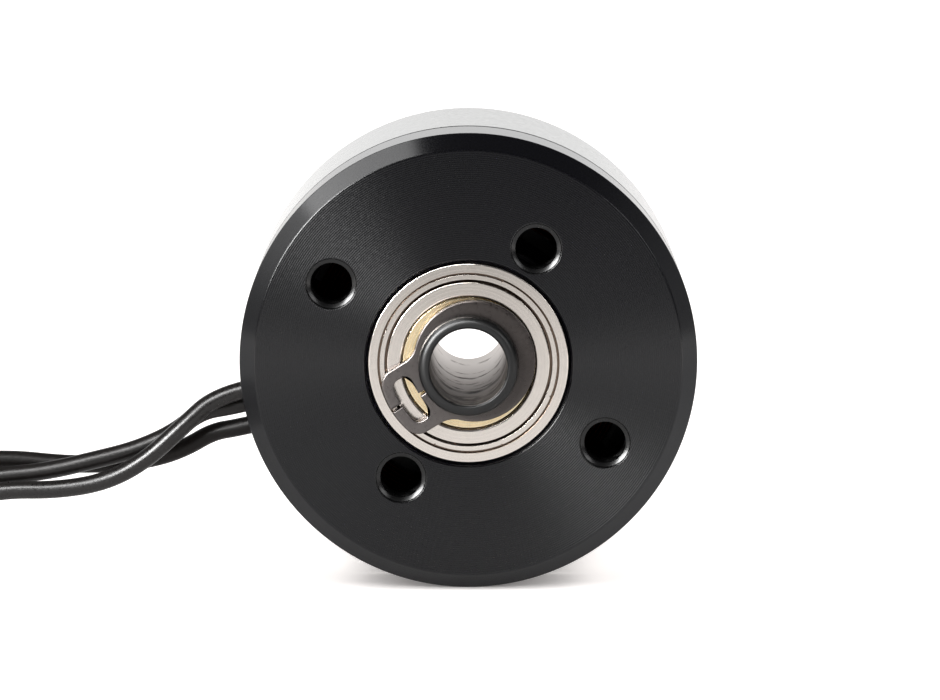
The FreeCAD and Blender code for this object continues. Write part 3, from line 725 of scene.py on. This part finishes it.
def bearingRings(spec, front):
    # Closed outlines of both rings: three straight sides with rounded edges, then the ball track
    rear = front + spec["width"]
    edge, boreEdge, seatEdge = spec["edge"], spec["boreEdge"], spec["seatEdge"]
    seat, depth, margin = spec["shieldSeat"], spec["seatDepth"], spec["trackMargin"]
    outerRing, innerRing = spec["outerRing"], spec["innerRing"]
    outerSide = outline([(outerRing, rear), (outerRing, rear - depth), (seat, rear - depth),
                         (seat, rear, seatEdge), (spec["outer"], rear, edge), (spec["outer"], front, edge),
                         (seat, front, seatEdge), (seat, front + depth), (outerRing, front + depth)],
                        closed=False)[1:]
    innerSide = outline([(innerRing, rear - margin), (innerRing, rear, edge), (spec["bore"], rear, boreEdge),
                         (spec["bore"], front, boreEdge), (innerRing, front, edge),
                         (innerRing, front + margin)], closed=False)
    outer = np.concatenate([outerSide, trackArc(spec, front, 1)])
    inner = np.concatenate([innerSide, trackArc(spec, front, -1)])
    return outer, inner


def shieldWasher(spec, y):
    # Washer with rounded edges; its outer radius steps at each crimp, and a short nick marks each step
    angle = evenAngles(spec["shieldSegments"])
    crimpSpan = 360 / spec["crimps"]
    turn = (np.degrees(angle) - spec["crimpTurn"]) / crimpSpan
    step = np.where(np.floor(turn) % 2 == 0, 0.0, spec["crimpStep"])
    fromNick = np.abs((turn + 0.5) % 1 - 0.5) * crimpSpan
    nick = spec["nickDepth"] * np.clip(1 - fromNick / spec["nickHalf"], 0, 1)
    edge = spec["shieldOuter"] - step - nick
    line = outline([(0.0, 0.0, spec["shieldInnerEdge"]), (1.0, 0.0, spec["shieldOuterEdge"]),
                    (1.0, spec["shieldThick"]), (0.0, spec["shieldThick"])])
    radius = spec["shieldInner"] + line[:, 0] * (edge - spec["shieldInner"])[:, None]
    x, z = radius * np.cos(angle)[:, None], radius * np.sin(angle)[:, None]
    return surface(grid(x, y + line[:, 1], z), wrapRows=True, wrapColumns=True)


def addBearing(spec, end):
    front = spec["fronts"][end]
    rear = front + spec["width"]
    angles = evenAngles(spec["segments"])
    outer, inner = bearingRings(spec, front)
    addPiece(end + "_bearing_race_outer", [lathe(outer, angles)], bearingSteel, "stator",
             [end + "_bearing_outer_ring"])
    addPiece(end + "_bearing_race_inner", [lathe(inner, angles)], bearingSteel, "rotor",
             [end + "_bearing_inner_ring"])
    washers = [shieldWasher(spec, front + spec["shieldRecess"]),
               shieldWasher(spec, rear - spec["shieldRecess"] - spec["shieldThick"])]
    addPiece(end + "_bearing_washers", washers, shieldSteel, "stator", [end + "_bearing_shields"])


for bearingEnd in bearing["fronts"]:
    addBearing(bearing, bearingEnd)

# Retaining ring: eccentric band that ends in two hooks, with a window between them and a slit at its ends.
# The steps of both edges have the same sum, because their points stand beside each other
clip = {
    "front": -0.75, "rear": -0.05, "angle": 211.5, "bore": 2.81, "bandRadius": 3.64, "bandShift": 0.42,
    "tipRadius": 5.36, "lugHalf": 2.13, "tipRound": 1.0, "rootRound": 1.5,
    "windowNear": 3.43, "windowFar": 4.66, "windowHalf": 1.42, "windowRound": 0.45, "slit": 0.2, "edge": 0.08,
    "outerSteps": (60, 24, 16, 20, 24), "innerSteps": (60, 20, 6, 14, 10, 4, 10, 20),
    "edgeSteps": 5, "faceSteps": 6, "crease": 40,
}


def arc(centre, radius, start, end, count):
    # Part of a circle between two angles in degrees, without its last point
    angle = np.radians(np.linspace(start, end, count, endpoint=False))
    return np.array(centre) + radius * np.stack([np.cos(angle), np.sin(angle)], axis=1)


def leg(start, end, count):
    # Straight run between two points, without its last point
    return np.linspace(start, end, count, endpoint=False)


def slitTurn(spec, radius):
    # Angle in degrees at which a circle about the axis meets the slit
    return math.degrees(math.asin(spec["slit"] / 2 / radius))


def clipOuter(spec, rootTurn):
    # Outer edge of one half: band, hollow root, straight flank, round tip, tip circle up to the slit
    slit, lug, tip, root = spec["slit"] / 2, spec["lugHalf"], spec["tipRound"], spec["rootRound"]
    band, hollow, flank, corner, end = spec["outerSteps"]
    rootU = (spec["bandRadius"] + root) * math.cos(math.radians(rootTurn)) - spec["bandShift"]
    tipU = math.sqrt((spec["tipRadius"] - tip) ** 2 - (lug - tip) ** 2)
    tipTurn = math.degrees(math.atan2(lug - tip, tipU))
    return np.concatenate([
        arc((-spec["bandShift"], 0.0), spec["bandRadius"], 180, rootTurn, band),
        arc((rootU, lug + root), root, 180 + rootTurn, 270, hollow),
        leg((rootU, lug), (tipU, lug), flank),
        arc((tipU, lug - tip), tip, 90, tipTurn, corner),
        arc((0, 0), spec["tipRadius"], tipTurn, slitTurn(spec, spec["tipRadius"]), end),
        [(math.sqrt(spec["tipRadius"] ** 2 - slit ** 2), slit)],
    ])


def clipInner(spec, rootTurn):
    # Inner edge of one half: bore circle up to the slit, slit, then round the window to the outer slit
    slit, bore = spec["slit"] / 2, spec["bore"]
    near, far, corner = spec["windowNear"], spec["windowFar"], spec["windowRound"]
    band, lug, split, nearSide, nearCorner, side, farCorner, farSide = spec["innerSteps"]
    half = spec["windowHalf"] - corner
    farU = math.sqrt((far - corner) ** 2 - half ** 2)
    farTurn = math.degrees(math.atan2(half, farU))
    return np.concatenate([
        arc((0, 0), bore, 180, rootTurn, band),
        arc((0, 0), bore, rootTurn, slitTurn(spec, bore), lug),
        leg((math.sqrt(bore ** 2 - slit ** 2), slit), (near, slit), split),
        leg((near, slit), (near, half), nearSide),
        arc((near + corner, half), corner, 180, 90, nearCorner),
        leg((near + corner, half + corner), (farU, half + corner), side),
        arc((farU, half), corner, 90, farTurn, farCorner),
        arc((0, 0), far, farTurn, slitTurn(spec, far), farSide),
        [(math.sqrt(far ** 2 - slit ** 2), slit)],
    ])


def mirrored(half):
    # The whole line: the half turned over the axis, then the half itself
    return np.concatenate([half[:0:-1] * (1, -1), half])


def inwards(loop):
    # For each point of a closed line, the mitred step that moves both its edges inwards by one
    after = np.roll(loop, -1, axis=0)
    ahead = after - loop
    ahead /= np.linalg.norm(ahead, axis=1)[:, None]
    right = np.stack([ahead[:, 1], -ahead[:, 0]], axis=1)
    before = np.roll(right, 1, axis=0)
    step = (right + before) / (1 + (right * before).sum(axis=1))[:, None]
    area = np.sum(loop[:, 0] * after[:, 1] - loop[:, 1] * after[:, 0])
    return -step if area > 0 else step


def turned(flat, y, degrees):
    # Flat points turned about the axis and set at depth y
    turn = math.radians(degrees)
    x = flat[..., 0] * math.cos(turn) - flat[..., 1] * math.sin(turn)
    z = flat[..., 0] * math.sin(turn) + flat[..., 1] * math.cos(turn)
    return grid(x, y, z)


def clipPlate(spec):
    # Flat faces between the two edges, and a wall along the closed line with rounded rims
    rootReach = spec["bandRadius"] + spec["rootRound"]
    rootTurn = math.degrees(math.asin((spec["lugHalf"] + spec["rootRound"]) / rootReach))
    outer, inner = mirrored(clipOuter(spec, rootTurn)), mirrored(clipInner(spec, rootTurn))
    loop = np.concatenate([outer, inner[::-1]])
    step = inwards(loop)
    quarter = np.linspace(0, math.pi / 2, spec["edgeSteps"])
    sink = spec["edge"] * (1 - np.cos(quarter))
    pull = spec["edge"] * (1 - np.sin(quarter))
    depth = np.concatenate([spec["front"] + sink, spec["rear"] - sink[::-1]])
    pull = np.concatenate([pull, pull[::-1]])
    wall = turned(loop[:, None] + step[:, None] * pull[:, None], depth, spec["angle"])
    inset = loop + step * spec["edge"]
    far, near = inset[:len(outer)], inset[len(outer):][::-1]
    face = near[:, None] + (far - near)[:, None] * np.linspace(0, 1, spec["faceSteps"])[:, None]
    sides = [surface(turned(face, spec[end], spec["angle"])) for end in ("front", "rear")]
    return [surface(wall, wrapRows=True)] + sides


addPiece("retaining_ring", clipPlate(clip), springSteel, "rotor", ["circlip"],
         crease=clip["crease"])
print("metal pieces made")

# CAD nodes whose shape is right keep it and get their finish
finishes = {
    "stator_core": electricalSteel, "lead_potting": epoxyResin, "coil_tie": tiePlastic,
    "flux_ring": mildSteel, "north_magnets": nickelPlate, "south_magnets": nickelPlate,
}
for bearingEnd in bearing["fronts"]:
    finishes[bearingEnd + "_insulator"] = mouldedNylon
    finishes[bearingEnd + "_bearing_balls"] = bearingSteel
    finishes[bearingEnd + "_bearing_cage"] = shieldSteel
for leadLetter in leads["routes"]:
    finishes["phase_" + leadLetter + "_windings"] = enamelledCopper
for nodeName, finish in finishes.items():
    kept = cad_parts[nodeName]
    kept.data.materials.clear()
    kept.data.materials.append(finish)
print("finishes given to", len(finishes), "nodes")

# Floor: wide white sheet, in metres but for its level. White is added where it lies open to the camera, and
# for reflections in front at the sides, close by and behind. Each ramp has two inputs, then the light there
floor = {
    "level": -13.75, "half": 3.0, "frontEdge": -0.17, "gridPoints": 9,
    "tone": "#f6f6f6", "liftTone": "#fff9f6",
    "shelterReach": 0.003, "shelterSamples": 4, "shelter": (0.15, 0.5, 0.15, 0.75),
    "sides": (0.02, 0.07, 0.1, 1.7), "front": (-0.08, -0.03, 1.0, 0.0),
    "close": (0.01, 0.06, 0.2, 0.0), "behind": (0.02, 0.5, 0.0, 0.8),
}


def paperSheet(name, spec):
    # White paper: dull, and lit further by white that is added to it; the added white fades where the paper
    # is sheltered, which paints shade along the motor's contact
    made, tree, place = newMaterial(name)
    path = node(tree, "LightPath", {})
    parts = node(tree, "SeparateXYZ", {}, place)
    settings = {"samples": spec["shelterSamples"]}
    # Painted shade: the white added for the camera fades where the paper is sheltered by the motor
    shelter = node(tree, "AmbientOcclusion", settings, Distance=spec["shelterReach"]).outputs["AO"]
    clear = node(tree, "MapRange", {}, shelter, *spec["shelter"])
    seen = node(tree, "Math", times, path.outputs["Is Camera Ray"], clear)
    aside = node(tree, "Math", {"operation": "ABSOLUTE"}, parts.outputs["X"])
    sides = node(tree, "MapRange", {}, aside, *spec["sides"])
    front = node(tree, "MapRange", {}, parts.outputs["Y"], *spec["front"])
    ahead = node(tree, "Math", times, sides, front)
    away = node(tree, "VectorMath", {"operation": "LENGTH"}, place)
    close = node(tree, "MapRange", {}, away, *spec["close"])
    near = node(tree, "Math", {"operation": "ADD"}, ahead, close)
    behind = node(tree, "MapRange", {}, parts.outputs["Y"], *spec["behind"])
    shown = node(tree, "Math", {"operation": "ADD"}, near, behind)
    lift = node(tree, "Math", timesPlus, path.outputs["Is Glossy Ray"], shown, seen)
    paper = node(tree, "BsdfDiffuse", {}, Color=linear(spec["tone"]))
    glow = node(tree, "Emission", {}, Color=linear(spec["liftTone"]), Strength=lift)
    node(tree, "OutputMaterial", {}, Surface=node(tree, "AddShader", {}, paper, glow))
    return made


def addFloor(spec):
    # Flat grid at the level that the motor lies on
    across = np.linspace(-spec["half"], spec["half"], spec["gridPoints"])
    along = np.linspace(spec["frontEdge"], spec["half"], spec["gridPoints"])
    x, y = np.meshgrid(across, along, indexing="ij")
    points, quads = surface(grid(x, y, spec["level"] * mm))
    mesh = bpy.data.meshes.new("floor")
    mesh.from_pydata(points.tolist(), [], quads.tolist())
    mesh.materials.append(paperSheet("whitePaperSheet", spec))
    made = bpy.data.objects.new("floor", mesh)
    scene.collection.objects.link(made)


addFloor(floor)

# Light: a soft box overhead for scattered light, and panels that show in gloss alone. The left one gives the
# face its fan-shaped sheen, the top one the edge lights of the leads, the side one the lit chamfer and the
# right one a faint answer. A piece that a panel skips doesn't get its light
lights = {
    "overhead": {"place": (-0.3, -0.4, 1.2), "size": (1.2, 1.2), "power": 3.5, "shows": "diffuse"},
    "leftPanel": {"place": (-0.57, -0.73, 0.37), "size": (0.45, 0.42), "power": 25.5, "shows": "gloss"},
    "topPanel": {"place": (-0.2, -0.68, 0.7), "size": (0.5, 0.28), "power": 7.5, "shows": "gloss",
                 "skips": ["base_turning"]},
    "sidePanel": {"place": (-0.55, -0.03, 0.83), "size": (0.62, 0.65), "power": 6.3, "shows": "gloss",
                  "skips": ["lead_a", "lead_b", "lead_c"]},
    "rightPanel": {"place": (0.62, -0.69, 0.38), "size": (0.35, 0.35), "power": 1.3, "shows": "gloss"},
}


def addLight(name, spec):
    data = bpy.data.lights.new(name, "AREA")
    data.shape = "RECTANGLE"
    data.size, data.size_y = spec["size"]
    data.energy = spec["power"]
    lamp = bpy.data.objects.new(name, data)
    lamp.location = spec["place"]
    aim = -lamp.location
    lamp.rotation_euler = aim.to_track_quat("-Z", "Y").to_euler()
    lamp.visible_diffuse = spec["shows"] == "diffuse"
    lamp.visible_glossy = spec["shows"] == "gloss"
    scene.collection.objects.link(lamp)
    if "skips" in spec:
        shaded = bpy.data.collections.new(name + "Shaded")
        for piece in spec["skips"]:
            shaded.objects.link(bpy.data.objects[piece])
        for entry in shaded.collection_objects:
            entry.light_linking.link_state = "EXCLUDE"
        lamp.light_linking.receiver_collection = shaded


for lightName, lightSpec in lights.items():
    addLight(lightName, lightSpec)

# Room: back and low are ramps over a ray's direction, and gloss turns their product into brightness
room = {
    "ambient": 0.72, "back": (0.0, 0.5, 0.0, 1.0), "low": (0.25, 0.55, 1.0, 0.08),
    "gloss": (0.0, 1.0, 0.06, 1.12),
}


def addRoom(spec):
    # White to the camera, pale for scattered light; for gloss, dim in front of the motor and white low behind
    world = bpy.data.worlds.new("room")
    scene.world = world
    world.use_nodes = True
    tree = world.node_tree
    tree.nodes.clear()
    path = node(tree, "LightPath", {}).outputs
    way = node(tree, "SeparateXYZ", {}, node(tree, "TexCoord", {}).outputs["Generated"])
    back = node(tree, "MapRange", {}, way.outputs["Y"], *spec["back"])
    low = node(tree, "MapRange", {}, way.outputs["Z"], *spec["low"])
    share = node(tree, "Math", times, back, low)
    shown = node(tree, "MapRange", {}, share, *spec["gloss"])
    level = node(tree, "Mix", {}, path["Is Glossy Ray"], spec["ambient"], shown)
    clear = node(tree, "Math", {"operation": "MAXIMUM"}, path["Is Camera Ray"], path["Is Transmission Ray"])
    strength = node(tree, "Mix", {}, clear, level, 1.0)
    glow = node(tree, "Background", {}, Color=(1, 1, 1, 1), Strength=strength)
    node(tree, "OutputWorld", {}, Surface=glow)


addRoom(room)
print("floor and light set")

bpy.context.view_layer.update()
